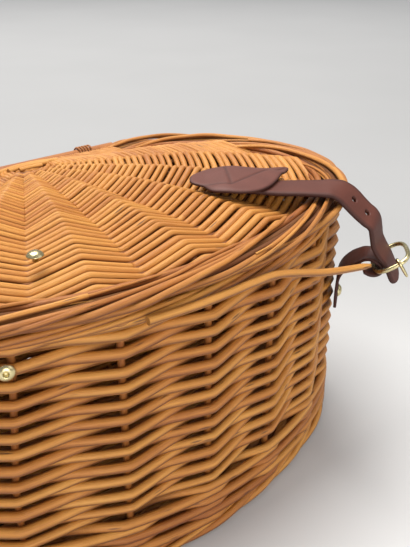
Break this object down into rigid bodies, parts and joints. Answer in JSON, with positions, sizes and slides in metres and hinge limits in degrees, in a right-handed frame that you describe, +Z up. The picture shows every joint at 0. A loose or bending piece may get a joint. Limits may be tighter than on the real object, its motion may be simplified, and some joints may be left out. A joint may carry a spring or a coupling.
{
  "type": "picnic basket",
  "caption": "Half-moon woven willow picnic basket with a hinged fan-woven lid, a leather strap with a heart-shaped patch, a brass ring buckle and dome studs.",
  "frame": {"origin": "middle of the bottom of the whole object's box, on the floor that the foot stands on", "axes": "+X along the straight back to the right as seen from the front, +Y towards the straight back, +Z up"},
  "size_m": [0.3354, 0.227, 0.1764],
  "materials": {
    "willow": "varnished peeled willow, honey brown",
    "leather": "smooth brown leather with a soft sheen",
    "brass": "pale polished brass"
  },
  "bodies": {
    "basket": {"wall": "willow", "base_panel": "willow", "foot_border": "willow", "rim_border": "willow", "hinge_loop_left": "willow", "hinge_loop_right": "willow", "loose_rod": "willow", "buckle_chape": "leather", "buckle_ring": "brass", "buckle_prong": "brass", "body_stud": "brass", "chape_stud": "brass"},
    "lid": {"lid_panel": "willow", "lid_border": "willow", "lid_back_rod": "willow", "strap_patch": "leather", "lid_strap": "leather", "lid_stud": "brass"}
  },
  "joints": [
    {"name": "lid_hinge", "type": "hinge", "parent": "basket", "child": "lid", "pos_m": [0, 0.10732, 0.161], "axis": [-1, 0, 0], "range_deg": [0, 110]}
  ]
}
